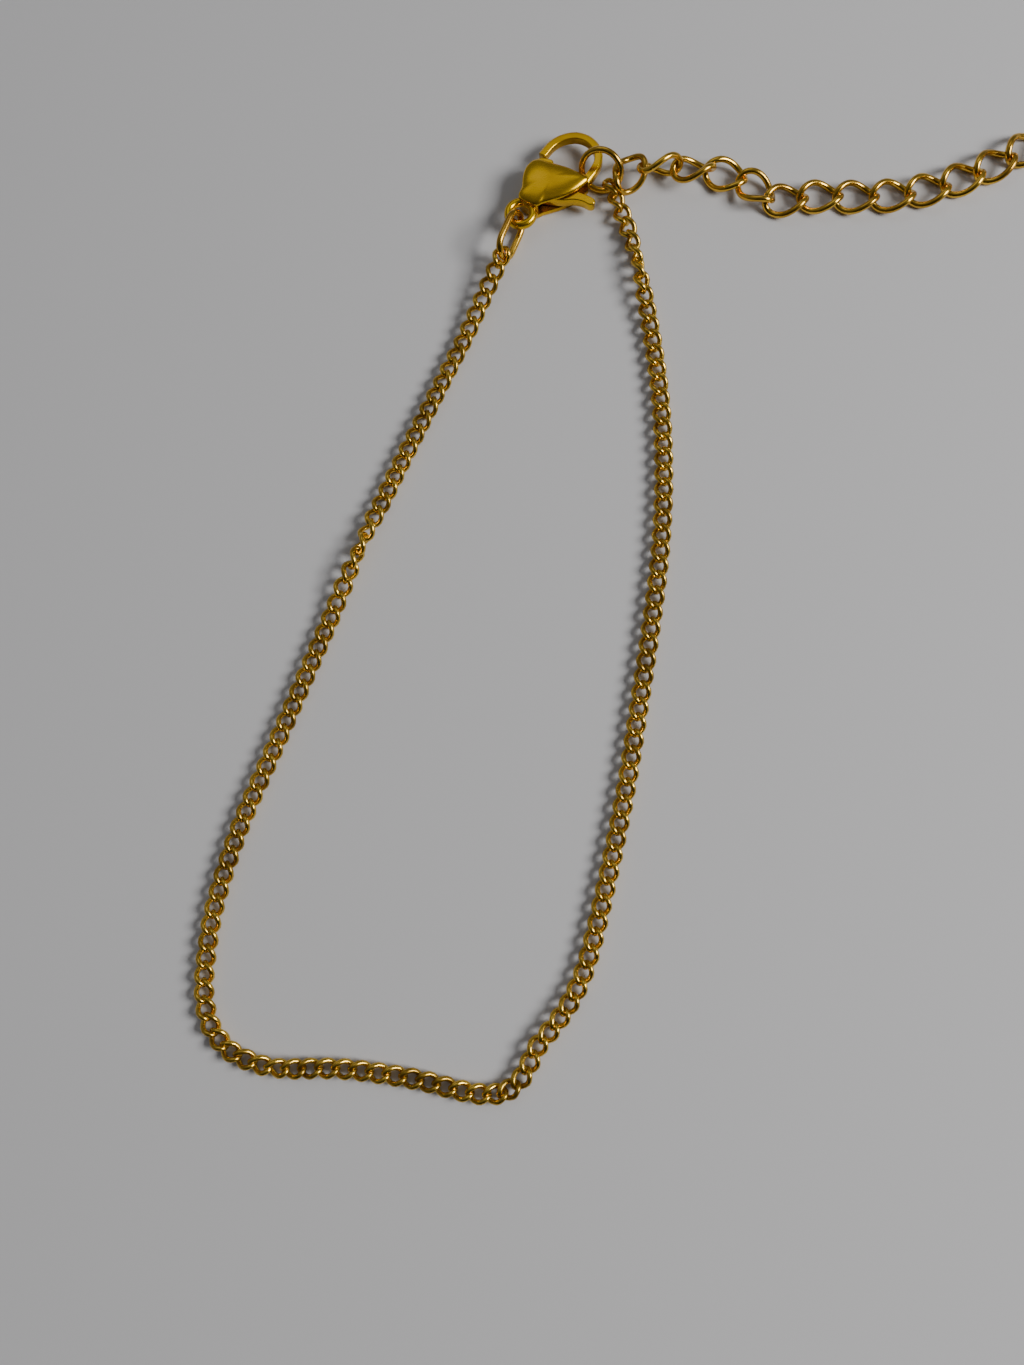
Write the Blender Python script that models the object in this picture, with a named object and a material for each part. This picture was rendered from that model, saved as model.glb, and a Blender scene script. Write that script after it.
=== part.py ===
"""A gold-coloured chain anklet, closed on its lobster clasp and lying on a table.

The ankle loop is a fine curb chain. One end hangs on an oval ring in the clasp's eye. The other hangs on a
round connector ring, which the clasp is hooked to and which also carries the extender of larger curb links.
Everything is in metres, +Z up, with the table at Z = 0.
"""

from math import cos, degrees, radians, sin, sqrt, tau

import bmesh
import bpy
from mathutils import Matrix, Vector

MM = 0.001

# Fine curb chain
FINE_WIRE = 0.42 * MM          # diameter of the wire
FINE_PITCH = 1.60 * MM         # from link to link, with the chain stretched
FINE_WIDTH = 1.90 * MM         # across a link, outside
FINE_BITE = 0.06 * MM          # how far a link sinks into the next, which fuses the strand
FINE_FACETS = 10               # sides round a link
WIRE_TURN = radians(36)        # of the wire's section, so that a corner faces into the link
CURB_TWIST = radians(-45)      # turn of a link's ends out of its own plane
JOIN_GAP = 0.20 * MM           # free play where the strands meet, and at the oval ring's ends
HANG_PLAY = 0.30 * MM          # between the last link's end and the connector ring
SPLIT = 0.54                   # share of the loop's links that are in the left strand

# Extender chain
EXTENDER_WIRE = 0.54 * MM
EXTENDER_LENGTH = 4.90 * MM    # one link, outside
EXTENDER_WIDTH = 3.70 * MM
EXTENDER_FACETS = 10

# Rings
CONNECTOR_WIRE = 0.60 * MM
CONNECTOR_DIAMETER = 4.85 * MM     # outside
CONNECTOR_TILT = radians(60)       # from lying flat, with its far side up
CONNECTOR_TURN = radians(-20)      # of its tilting axis, from +X
CONNECTOR_SEAT = (4.45, 7.0)       # where it crosses the hook, in the clasp's own millimetres
SEAT_TO_MIDDLE = 0.84 * MM         # from the hook's middle line to the ring's middle, along its axis
CHAIN_HANG = radians(-51)          # where the fine chain hangs round the connector ring, from its right side
OVAL_WIRE = 0.72 * MM
OVAL_LENGTH = 5.55 * MM            # outside
OVAL_WIDTH = 3.50 * MM
OVAL_ROLL = radians(70)            # its left side is up

# Lobster clasp: X runs across it and Y from the eye towards the hook, from just above the eye's centre
CLASP_TURN = radians(-30)      # of the clasp on the table
BODY_THICKNESS = 3.1 * MM      # from its flat back to the top of its domed front
BODY_RIM = 2.5 * MM            # height at which the dome springs from the side wall
BACK_ROUNDING = 0.25 * MM
BACK_SHARE = 0.9               # size of the flat back within the outline
DOME_SHARES = (0.92, 0.75, 0.45)   # sizes of the dome's sections above its rim
MID_HEIGHT = 1.55 * MM         # middle of the eye, the lever and the hook above the flat back
EYE_OUTER = 1.75 * MM          # radius
EYE_HOLE = 0.85 * MM           # radius
EYE_DROP = 0.40 * MM           # of the eye's centre below the clasp's own origin
EYE_THICKNESS = 1.05 * MM
HOOK_WIDTH = 0.85 * MM
HOOK_THICKNESS = 1.15 * MM
LEVER_THICKNESS = 1.2 * MM
LEVER_CHAMFER = 0.1 * MM
LEVER_CLEARANCE = 0.2 * MM     # between the lever and each cheek
PIVOT = (0.3 * MM, 3.4 * MM)   # the lever's pin
PIN_RADIUS = 0.35 * MM
PIN_CLEARANCE = 0.25 * MM
HUB_RADIUS = 1.1 * MM
LEVER_RANGE = radians(36)      # the thumb tab comes towards the eye

# Places on the table, from the middle of the ankle loop
CLASP_PLACE = Vector((-7.50, 45.75, 0)) * MM
OVAL_AIM = Vector((-9.85, 40.30, 0)) * MM      # where the oval ring's far end points

# Middle line of the fine chain, in millimetres on the table, round the loop from the oval ring
LOOP_ROUTE = [
    (-11.7, 36.2), (-13.1, 33.1), (-16.6, 25.8), (-20.0, 18.7), (-23.3, 11.4), (-26.3, 4.0), (-29.3, -3.5),
    (-32.3, -10.9), (-35.3, -18.3), (-37.4, -25.6), (-38.1, -30.9), (-38.1, -34.2), (-37.4, -36.9),
    (-35.6, -39.1), (-33.0, -40.3), (-30.2, -40.8), (-24.5, -40.8), (-17.9, -41.6), (-13.4, -42.6),
    (-10.6, -42.9), (-8.5, -42.2), (-7.3, -40.6), (-6.3, -38.6), (-4.4, -36.3), (-2.6, -33.4), (-1.2, -29.6),
    (0.6, -22.4), (2.3, -14.6), (3.7, -6.6), (5.0, 1.2), (6.1, 9.2), (6.6, 17.2), (6.4, 25.2), (5.5, 33.1),
    (4.3, 40.1), (3.0, 45.0),
]

# Roll of the fine chain about its own line: share of the loop, degrees (left side up is positive)
LOOP_ROLL = [
    (0.00, -25), (0.03, 5), (0.06, 15), (0.13, 0), (0.145, 0), (0.19, 180), (0.42, 180), (0.44, 205),
    (0.455, 165), (0.47, 180), (0.56, 180), (0.585, 195), (0.60, 180), (0.92, 180), (0.94, 200), (1.00, 420),
]

# Extender links: middle in millimetres on the table, heading and roll in degrees, lift off the table in mm
EXTENDER_SPREAD = EXTENDER_LENGTH / (4.90 * MM)    # these places are for links of 4.90 mm
EXTENDER_PLACES = [
    ((3.70, 49.50), 60, 11, 0.64),
    ((6.87, 49.97), 6, -73, 0.17),
    ((10.35, 49.78), 2, -28, 0.2),
    ((13.70, 49.25), -18, 8, 0.0),
    ((16.80, 47.55), -42, -6, 0.1),
    ((19.80, 46.20), 5, 0, 0.0),
    ((23.35, 46.45), 1, 0, 0.0),
    ((27.00, 46.25), 0, 0, 0.0),
    ((30.70, 46.25), 3, 0, 0.0),
    ((34.30, 46.75), 9, 0, 0.0),
    ((37.85, 47.85), 18, 0, 0.0),
    ((41.20, 49.30), 26, 0, 0.0),
    ((44.45, 51.05), 30, 0, 0.0),
]

# Outlines in the clasp's own millimetres
DOME_OUTLINE = [
    (-0.8, 0.7), (-1.15, 1.9), (-1.65, 3.0), (-1.85, 4.0), (-1.65, 4.9), (-1.1, 5.42), (-0.1, 5.62),
    (0.9, 5.8), (1.9, 5.98), (2.6, 6.03), (3.3, 6.05), (3.9, 6.1), (4.4, 6.02), (4.66, 5.7), (4.55, 5.15),
    (4.3, 4.5), (3.9, 3.7), (3.25, 2.8), (2.5, 2.0), (1.75, 1.25), (1.1, 0.6),
]
DOME_CROWN = (1.3, 4.2)        # top of the dome
HOOK_LINE = [
    (4.32, 5.75), (4.42, 6.6), (4.47, 7.4), (4.38, 8.3), (3.92, 9.2), (3.08, 9.85), (2.05, 10.12),
    (0.97, 9.95), (0.12, 9.42), (-0.55, 8.67), (-0.98, 7.75), (-1.22, 6.3),
]
# The lever, as radius in millimetres and angle in degrees about its pin
LEVER_NOSE = [(1.4, 88), (2.3, 88), (2.75, 92), (2.83, 101), (2.83, 112), (2.83, 123), (2.7, 134),
              (2.4, 142), (1.6, 147)]
LEVER_TAB = [(1.75, -62), (1.9, -46), (2.45, -27), (3.25, -12), (3.9, -3), (4.86, 1.2), (5.7, 1),
             (6.1, 3.8), (6.05, 8), (5.55, 10.2), (4.6, 11.5), (3.4, 14), (1.6, 17)]
NOSE_ROOM = (84, 163)          # degrees about the pin that the slot leaves free for the closed nose
TAB_ROOM = (-32, 32)           # for the tab
FLANK_ROOM = -78               # and from here to the tab, for the lever's flank
SLOT_REACH = 8 * MM
FLANK_REACH = 2.3 * MM


def new_collection(name):
    made = bpy.data.collections.new(name)
    bpy.context.scene.collection.children.link(made)
    return made


for old in list(bpy.data.objects):
    bpy.data.objects.remove(old, do_unlink=True)
PIECES = new_collection("charm_anklet")
CUTTERS = new_collection("cutters")


def gold(name, colour, roughness):
    """Polished steel under a thin gold-coloured coat."""
    made = bpy.data.materials.new(name)
    made.use_nodes = True
    shader = made.node_tree.nodes["Principled BSDF"]
    shader.inputs["Base Color"].default_value = (*colour, 1)
    shader.inputs["Metallic"].default_value = 1
    shader.inputs["Roughness"].default_value = roughness
    return made


CHAIN_GOLD = gold("chain_gold", (0.72, 0.46, 0.14), 0.28)
CLASP_GOLD = gold("clasp_gold", (0.76, 0.50, 0.15), 0.18)


def add_piece(name, mesh, material, parent):
    """One piece of the anklet, under the empty that carries it."""
    piece = bpy.data.objects.new(name, mesh)
    PIECES.objects.link(piece)
    mesh.materials.clear()
    mesh.materials.append(material)
    mesh.shade_smooth()
    mesh.set_sharp_from_angle(angle=radians(40))
    piece.parent = parent
    return piece


def add_empty(name, parent=None):
    made = bpy.data.objects.new(name, None)
    PIECES.objects.link(made)
    made.parent = parent
    return made


def add_cutter(name, mesh, parent=None):
    made = bpy.data.objects.new(name, mesh)
    CUTTERS.objects.link(made)
    made.parent = parent
    made.hide_render = True
    made.display_type = "WIRE"
    return made


def combine(piece, operation, other):
    step = piece.modifiers.new(other.name, "BOOLEAN")
    step.operation = operation
    step.object = other
    step.solver = "EXACT"


def curve_to_mesh(curve):
    """A welded mesh of a curve, whose object is then removed."""
    carrier = bpy.data.objects.new(curve.name, curve)
    CUTTERS.objects.link(carrier)
    bpy.context.view_layer.update()
    depsgraph = bpy.context.evaluated_depsgraph_get()
    mesh = bpy.data.meshes.new_from_object(carrier.evaluated_get(depsgraph), depsgraph=depsgraph)
    bpy.data.objects.remove(carrier, do_unlink=True)
    shape = bmesh.new()
    shape.from_mesh(mesh)
    bmesh.ops.remove_doubles(shape, verts=shape.verts, dist=0.0005 * MM)
    bmesh.ops.recalc_face_normals(shape, faces=shape.faces)
    shape.to_mesh(mesh)
    shape.free()
    return mesh


def new_curve(name, points, closed, dimensions="3D"):
    curve = bpy.data.curves.new(name, "CURVE")
    curve.dimensions = dimensions
    spline = curve.splines.new("POLY")
    spline.points.add(len(points) - 1)
    for vertex, point in zip(spline.points, points):
        vertex.co = (*point, 1) if len(point) == 3 else (*point, 0, 1)
    spline.use_cyclic_u = closed
    return curve


def swept(name, points, section, closed):
    """A bar of the given section along a line of points."""
    profile = bpy.data.objects.new(name + "_section", new_curve(name + "_section", section, True, "2D"))
    CUTTERS.objects.link(profile)
    curve = new_curve(name, points, closed)
    curve.twist_mode = "Z_UP" if not closed else "MINIMUM"
    curve.bevel_mode = "OBJECT"
    curve.bevel_object = profile
    curve.use_fill_caps = not closed
    mesh = curve_to_mesh(curve)
    bpy.data.objects.remove(profile, do_unlink=True)
    return mesh


def round_section(diameter, sides=5, turn=0.0):
    """A regular section that stays inside the wire's circle."""
    angles = [tau * i / sides + turn for i in range(sides)]
    return [(diameter / 2 * cos(angle), diameter / 2 * sin(angle)) for angle in angles]


def plate(name, outline, thickness, chamfer=0.0):
    """A flat plate about its middle height, with chamfered edges."""
    curve = new_curve(name, outline, True, "2D")
    curve.fill_mode = "BOTH"
    curve.extrude = thickness / 2 - chamfer
    curve.bevel_depth = chamfer
    curve.bevel_resolution = 0
    curve.offset = -chamfer
    return curve_to_mesh(curve)


def smooth_line(points, closed=False, steps=8):
    """Points on a smooth line through the given ones."""
    count = len(points)
    line = []
    for i in range(count if closed else count - 1):
        if closed:
            a, b, c, d = (points[(i + k) % count] for k in (-1, 0, 1, 2))
        else:
            a, b, c, d = (points[min(max(i + k, 0), count - 1)] for k in (-1, 0, 1, 2))
        for j in range(steps):
            t = j / steps
            line.append(0.5 * (2 * b + (c - a) * t + (2 * a - 5 * b + 4 * c - d) * t ** 2
                               + (3 * b - a - 3 * c + d) * t ** 3))
    if not closed:
        line.append(points[-1].copy())
    return line


def curb_line(length, width, wire, facets):
    """Middle line of a curb link along X: an oval whose ends are turned out of its plane."""
    reach = (length - wire) / 2 / cos(tau / 2 / facets)
    line = []
    for i in range(facets):
        t = tau * (i + 0.5) / facets
        across = (width - wire) / 2 * sin(t)
        turn = CURB_TWIST * cos(t)
        line.append(Vector((reach * cos(t), across * cos(turn), across * sin(turn))))
    return line


def heading_frame(along, roll):
    """Rotation that takes X along a line, with Y to its left and turned up by the roll."""
    ahead = along.normalized()
    left = Vector((0, 0, 1)).cross(ahead).normalized()
    up = ahead.cross(left)
    columns = (ahead, left * cos(roll) + up * sin(roll), up * cos(roll) - left * sin(roll))
    return Matrix(columns).transposed()


def resting_height(line, wire, frame):
    """Height of a link's middle when its lowest point is on the table."""
    return wire / 2 - min((frame @ point).z for point in line)


def placed(frame, place):
    return Matrix.Translation(place) @ frame.to_4x4()


ANKLET = add_empty("anklet_frame")


# Lobster clasp

def clasp_points(rows):
    return [Vector((u, v, 0)) * MM for u, v in rows]


def polar(rows):
    return [Vector((r * cos(radians(a)), r * sin(radians(a)), 0)) for r, a in rows]


def arc(radius, start, end, step=15):
    """Rows of radius and angle from start to end, in degrees."""
    count = max(1, round(abs(end - start) / step))
    return [(radius, start + (end - start) * i / count) for i in range(count + 1)]


def dome():
    """The casting's rounded main mass: flat back, upright side and domed front."""
    outline = clasp_points(DOME_OUTLINE)
    crown = Vector((*DOME_CROWN, 0)) * MM
    sections = [(BACK_SHARE, 0), (1, BACK_ROUNDING), (1, BODY_RIM)]
    for share in DOME_SHARES:
        sections.append((share, BODY_RIM + (BODY_THICKNESS - BODY_RIM) * sqrt(1 - share ** 2)))
    shape = bmesh.new()
    rings = []
    for share, height in sections:
        points = [crown + (point - crown) * share + Vector((0, 0, height)) for point in outline]
        rings.append([shape.verts.new(point) for point in points])
    for lower, upper in zip(rings, rings[1:]):
        for i in range(len(outline)):
            k = (i + 1) % len(outline)
            shape.faces.new((lower[i], lower[k], upper[k], upper[i]))
    shape.faces.new(rings[0])
    shape.faces.new(rings[-1])
    bmesh.ops.recalc_face_normals(shape, faces=shape.faces)
    mesh = bpy.data.meshes.new("clasp_body")
    shape.to_mesh(mesh)
    shape.free()
    return mesh


CLASP = add_empty("clasp_frame", ANKLET)
CLASP.location = CLASP_PLACE
CLASP.rotation_euler.z = CLASP_TURN
PIVOT_PLACE = Vector((*PIVOT, 0))
SLOT_HEIGHT = LEVER_THICKNESS + 2 * LEVER_CLEARANCE


def hook_mesh():
    cut = 0.28 * HOOK_WIDTH
    w, h = HOOK_WIDTH / 2, HOOK_THICKNESS / 2
    section = [(w, h - cut), (w - cut, h), (cut - w, h), (-w, h - cut),
               (-w, cut - h), (cut - w, -h), (w - cut, -h), (w, cut - h)]
    return swept("hook", clasp_points(HOOK_LINE), section, closed=False)


def slot_mesh():
    """Room for the lever between the cheeks, from closed to open."""
    hub = HUB_RADIUS + LEVER_CLEARANCE
    nose_low, nose_high = NOSE_ROOM[0] - degrees(LEVER_RANGE), NOSE_ROOM[1]
    tab_low, tab_high = TAB_ROOM[0] - degrees(LEVER_RANGE), TAB_ROOM[1]
    flank_low = FLANK_ROOM - degrees(LEVER_RANGE)
    rows = (arc(SLOT_REACH, nose_low, nose_high) + arc(hub, nose_high, 360 + flank_low)
            + arc(FLANK_REACH, flank_low, tab_low) + arc(SLOT_REACH, tab_low, tab_high)
            + arc(hub, tab_high, nose_low))
    return plate("lever_slot", polar(rows), SLOT_HEIGHT)


def cylinder_mesh(name, radius, height, sides=12):
    shape = bmesh.new()
    bmesh.ops.create_cone(shape, cap_ends=True, segments=sides, radius1=radius, radius2=radius, depth=height)
    mesh = bpy.data.meshes.new(name)
    shape.to_mesh(mesh)
    shape.free()
    return mesh


def ring_mesh(radius, wire, major=14, minor=6):
    """A round ring, from its wire's middle line and its wire."""
    bpy.ops.mesh.primitive_torus_add(major_segments=major, minor_segments=minor, major_radius=radius,
                                     minor_radius=wire / 2)
    made = bpy.context.object
    mesh = made.data
    bpy.data.objects.remove(made, do_unlink=True)
    return mesh


clasp_body = add_piece("clasp_body", dome(), CLASP_GOLD, CLASP)
slot = add_cutter("lever_slot", slot_mesh(), CLASP)
slot.location = PIVOT_PLACE + Vector((0, 0, MID_HEIGHT))
combine(clasp_body, "DIFFERENCE", slot)
hook = add_cutter("hook", hook_mesh(), CLASP)
hook.location.z = MID_HEIGHT
combine(clasp_body, "UNION", hook)
eye = add_cutter("eye", ring_mesh((EYE_OUTER + EYE_HOLE) / 2, EYE_OUTER - EYE_HOLE), CLASP)
eye.data.transform(Matrix.Diagonal((1, 1, EYE_THICKNESS / (EYE_OUTER - EYE_HOLE), 1)))
eye.location = (0, -EYE_DROP, MID_HEIGHT)
combine(clasp_body, "UNION", eye)
pin_mesh = cylinder_mesh("lever_pin", PIN_RADIUS, SLOT_HEIGHT + 2 * LEVER_CLEARANCE)
pin = add_cutter("lever_pin", pin_mesh, CLASP)
pin.location = PIVOT_PLACE + Vector((0, 0, MID_HEIGHT))
combine(clasp_body, "UNION", pin)

LEVER_OUTLINE = polar([(r * MM, a) for r, a in LEVER_TAB] + arc(HUB_RADIUS, 38, 76, 20)
                      + [(r * MM, a) for r, a in LEVER_NOSE] + arc(HUB_RADIUS, 158, 284, 27))
lever_mesh = plate("clasp_lever", LEVER_OUTLINE, LEVER_THICKNESS, LEVER_CHAMFER)
clasp_lever = add_piece("clasp_lever", lever_mesh, CLASP_GOLD, CLASP)
clasp_lever.location = PIVOT_PLACE + Vector((0, 0, MID_HEIGHT))
bore_mesh = cylinder_mesh("lever_bore", PIN_RADIUS + PIN_CLEARANCE, 2 * LEVER_THICKNESS)
bore = add_cutter("lever_bore", bore_mesh, CLASP)
bore.location = clasp_lever.location
combine(clasp_lever, "DIFFERENCE", bore)


# Rings

CLASP_MATRIX = placed(Matrix.Rotation(CLASP_TURN, 3, "Z"), CLASP_PLACE)
CONNECTOR_RADIUS = (CONNECTOR_DIAMETER - CONNECTOR_WIRE) / 2
CONNECTOR_FRAME = (Matrix.Rotation(CONNECTOR_TURN, 3, "Z") @ Matrix.Rotation(CONNECTOR_TILT, 3, "X"))
CONNECTOR_HEIGHT = CONNECTOR_WIRE / 2 + CONNECTOR_RADIUS * sin(CONNECTOR_TILT)
CONNECTOR_RISE = (CONNECTOR_HEIGHT - MID_HEIGHT) / sin(CONNECTOR_TILT)
SEAT = CLASP_MATRIX @ (Vector((*CONNECTOR_SEAT, 0)) * MM) + Vector((0, 0, MID_HEIGHT))
CONNECTOR_MIDDLE = SEAT + CONNECTOR_FRAME @ Vector((SEAT_TO_MIDDLE, CONNECTOR_RISE, 0))
connector = add_piece("connector_ring", ring_mesh(CONNECTOR_RADIUS, CONNECTOR_WIRE), CHAIN_GOLD, ANKLET)
connector.matrix_local = placed(CONNECTOR_FRAME, CONNECTOR_MIDDLE)

OVAL_HALF = (OVAL_LENGTH - OVAL_WIRE) / 2
OVAL_SIDE = (OVAL_WIDTH - OVAL_WIRE) / 2
EYE_MIDDLE = CLASP_MATRIX @ Vector((0, -EYE_DROP, 0))
OVAL_AHEAD = (OVAL_AIM - EYE_MIDDLE).normalized()
OVAL_HEIGHT = max(MID_HEIGHT, OVAL_WIRE / 2 + OVAL_SIDE * sin(OVAL_ROLL))
OVAL_NEAR = EYE_MIDDLE + OVAL_AHEAD * (EYE_HOLE - OVAL_WIRE / 2 - JOIN_GAP) + Vector((0, 0, OVAL_HEIGHT))
OVAL_FAR = OVAL_NEAR + OVAL_AHEAD * 2 * OVAL_HALF


def oval_line():
    """Middle line of the oval ring: two half circles and straight sides."""
    line = []
    for side in (1, -1):
        for _, angle in arc(1, -90, 90, 180 / 7):
            bend = Vector((cos(radians(angle)), sin(radians(angle)), 0)) * OVAL_SIDE
            line.append(side * (bend + Vector((OVAL_HALF - OVAL_SIDE, 0, 0))))
    return line


oval_mesh = swept("end_ring", oval_line(), round_section(OVAL_WIRE, 6), closed=True)
end_ring = add_piece("end_ring", oval_mesh, CHAIN_GOLD, ANKLET)
end_ring.matrix_local = placed(heading_frame(OVAL_AHEAD, -OVAL_ROLL), (OVAL_NEAR + OVAL_FAR) / 2)


# Fine curb chain

FINE_LENGTH = FINE_PITCH + 2 * FINE_WIRE - FINE_BITE
FINE_REACH = (FINE_LENGTH - FINE_WIRE) / 2
FINE_LINE = curb_line(FINE_LENGTH, FINE_WIDTH, FINE_WIRE, FINE_FACETS)
HANG_WAY = CONNECTOR_FRAME @ Vector((cos(CHAIN_HANG), sin(CHAIN_HANG), 0))
HANG_POINT = CONNECTOR_MIDDLE + HANG_WAY * CONNECTOR_RADIUS
END_SLOPE = 0.16 * MM          # how much a link near a ring may hang above the next


def level(point):
    return Vector((point.x, point.y, 0))


def table_value(rows, share):
    """Value at a share of the length, between the rows of a table."""
    for (start, low), (end, high) in zip(rows, rows[1:]):
        if share <= end:
            return low + (high - low) * max(0.0, share - start) / (end - start)
    return rows[-1][1]


def loop_places():
    """Middles of the fine links round the loop, and how many of them are in the left strand."""
    route = [Vector((x, y, 0)) * MM for x, y in LOOP_ROUTE]
    first_turn = (route[0] - level(OVAL_FAR)).normalized()
    last_turn = (level(HANG_POINT) - route[-1]).normalized()
    first = level(OVAL_FAR) + first_turn * (FINE_REACH - (OVAL_WIRE + FINE_WIRE) / 2 - JOIN_GAP)
    last = level(HANG_POINT) - last_turn * (FINE_REACH - (CONNECTOR_WIRE + FINE_WIRE) / 2 - HANG_PLAY)
    line = smooth_line([first, *route, last], steps=12)
    stations = [0.0]
    for a, b in zip(line, line[1:]):
        stations.append(stations[-1] + (b - a).length)
    slack = FINE_BITE + JOIN_GAP
    count = round((stations[-1] + slack) / FINE_PITCH) + 1
    pitch = (stations[-1] + slack) / (count - 1)
    split = round(SPLIT * count)
    places = []
    k = 0
    for i in range(count):
        station = i * pitch - (slack if i >= split else 0)
        while k < len(line) - 2 and stations[k + 1] < station:
            k += 1
        share = (station - stations[k]) / (stations[k + 1] - stations[k])
        places.append(line[k].lerp(line[k + 1], share))
    return places, split


def loop_frames():
    """Where each fine link is and how it is turned."""
    places, split = loop_places()
    count = len(places)
    rolls = [radians(table_value(LOOP_ROLL, i / (count - 1))) for i in range(count)]
    ahead = [places[min(i + 1, count - 1)] - places[max(i - 1, 0)] for i in range(count)]
    rest = [resting_height(FINE_LINE, FINE_WIRE, heading_frame(a, r)) for a, r in zip(ahead, rolls)]
    for i in range(count):
        height = max(rest[max(0, i - 1):i + 2])
        height = max(height, OVAL_FAR.z - END_SLOPE * i, HANG_POINT.z - END_SLOPE * (count - 1 - i))
        places[i].z = height
    frames = []
    for i in range(count):
        along = places[min(i + 1, count - 1)] - places[max(i - 1, 0)]
        frames.append(placed(heading_frame(along, rolls[i]), places[i]))
    return frames, split


def joined_links(name, link, frames):
    shape = bmesh.new()
    for frame in frames:
        copy = link.copy()
        copy.transform(frame)
        shape.from_mesh(copy)
        bpy.data.meshes.remove(copy)
    mesh = bpy.data.meshes.new(name)
    shape.to_mesh(mesh)
    shape.free()
    return mesh


def add_strand(name, link, frames):
    """A strand of links fused where each holds the next: every second link is joined to those between."""
    strand = add_piece(name, joined_links(name, link, frames[::2]), CHAIN_GOLD, ANKLET)
    others = add_cutter(name + "_between", joined_links(name + "_between", link, frames[1::2]), ANKLET)
    combine(strand, "UNION", others)


fine_link = swept("fine_link", FINE_LINE, round_section(FINE_WIRE, turn=WIRE_TURN), closed=True)
link_frames, left_count = loop_frames()
add_strand("chain_left", fine_link, link_frames[:left_count])
add_strand("chain_right", fine_link, link_frames[left_count:])


# Extender

EXTENDER_LINE = curb_line(EXTENDER_LENGTH, EXTENDER_WIDTH, EXTENDER_WIRE, EXTENDER_FACETS)
extender_link = swept("extender_link", EXTENDER_LINE, round_section(EXTENDER_WIRE), closed=True)
first_place = Vector((*EXTENDER_PLACES[0][0], 0)) * MM
for number, ((x, y), heading, roll, lift) in enumerate(EXTENDER_PLACES, 1):
    turn = heading_frame(Vector((cos(radians(heading)), sin(radians(heading)), 0)), radians(roll))
    height = resting_height(EXTENDER_LINE, EXTENDER_WIRE, turn) + lift * MM
    piece = add_piece("extender_link_%02d" % number, extender_link.copy(), CHAIN_GOLD, ANKLET)
    place = first_place + (Vector((x, y, 0)) * MM - first_place) * EXTENDER_SPREAD
    piece.matrix_local = placed(turn, place + Vector((0, 0, height)))


def stand_at_origin():
    """Put the middle of the anklet's outer box over the origin, and its lowest point at Z = 0."""
    bpy.context.view_layer.update()
    depsgraph = bpy.context.evaluated_depsgraph_get()
    corners = []
    for piece in PIECES.objects:
        if piece.type == "MESH":
            solid = piece.evaluated_get(depsgraph)
            corners += [solid.matrix_world @ vertex.co for vertex in solid.data.vertices]
    low = [min(corner[k] for corner in corners) for k in range(3)]
    high = [max(corner[k] for corner in corners) for k in range(3)]
    ANKLET.location = (-(low[0] + high[0]) / 2, -(low[1] + high[1]) / 2, -low[2])


stand_at_origin()
bpy.context.view_layer.update()
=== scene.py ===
from math import atan, cos, pi, radians, sin, sqrt, tau

import bmesh
import bpy
from mathutils import Matrix, Vector


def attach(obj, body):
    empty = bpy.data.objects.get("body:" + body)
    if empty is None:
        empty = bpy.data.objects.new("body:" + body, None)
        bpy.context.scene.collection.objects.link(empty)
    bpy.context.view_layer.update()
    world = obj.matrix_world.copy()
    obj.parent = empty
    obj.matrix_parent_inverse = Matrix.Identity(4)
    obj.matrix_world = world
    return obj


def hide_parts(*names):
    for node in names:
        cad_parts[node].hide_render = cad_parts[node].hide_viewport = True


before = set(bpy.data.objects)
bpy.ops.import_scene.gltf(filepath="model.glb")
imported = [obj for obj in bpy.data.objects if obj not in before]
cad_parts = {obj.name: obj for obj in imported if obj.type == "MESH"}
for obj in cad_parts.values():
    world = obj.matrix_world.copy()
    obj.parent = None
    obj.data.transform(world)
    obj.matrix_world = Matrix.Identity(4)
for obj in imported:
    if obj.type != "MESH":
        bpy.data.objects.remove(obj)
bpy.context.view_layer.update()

MM = 0.001
LOOP_MIDDLE = Vector((-3.8419, -5.2596, 0)) * MM     # every place below is measured from this point


# Fine curb chain
# The ankle chain is one run of small oval links, bent from round wire and twisted so that they lie flat.
# It is brass under a thin gold-coloured coat. One end hangs on the oval ring and the other on the round one.

FINE_WIRE = 0.53 * MM
FINE_PITCH = 1.60 * MM
FINE_WIDTH = 2.04 * MM
FINE_BITE = 0.06 * MM          # how far a link sinks into the next
FINE_LENGTH = FINE_PITCH + 2 * FINE_WIRE - FINE_BITE
FINE_TWIST = radians(-60)      # turn of a link's ends out of its own plane
FINE_BEND_STEPS = 20
FINE_WIRE_SIDES = 8
JOIN_GAP = 0.20 * MM
HANG_PLAY = 0.30 * MM
LEFT_SHARE = 0.54              # of the links, on the oval ring's side of where the two strands meet
CHAIN_LIFT = 0.025 * MM        # a tilted link's edge would otherwise be in the table
END_SLOPE = 0.16 * MM          # how much a link near a ring may hang above the next
ROUTE_STEPS = 12               # points from one row of the route to the next
LINE_STEPS = 20                # of the plain line that the links' heights are read from

CHAIN_COLOUR = (0.76, 0.49, 0.07, 1)
CHAIN_TARNISH = (0.36, 0.21, 0.03, 1)

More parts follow.
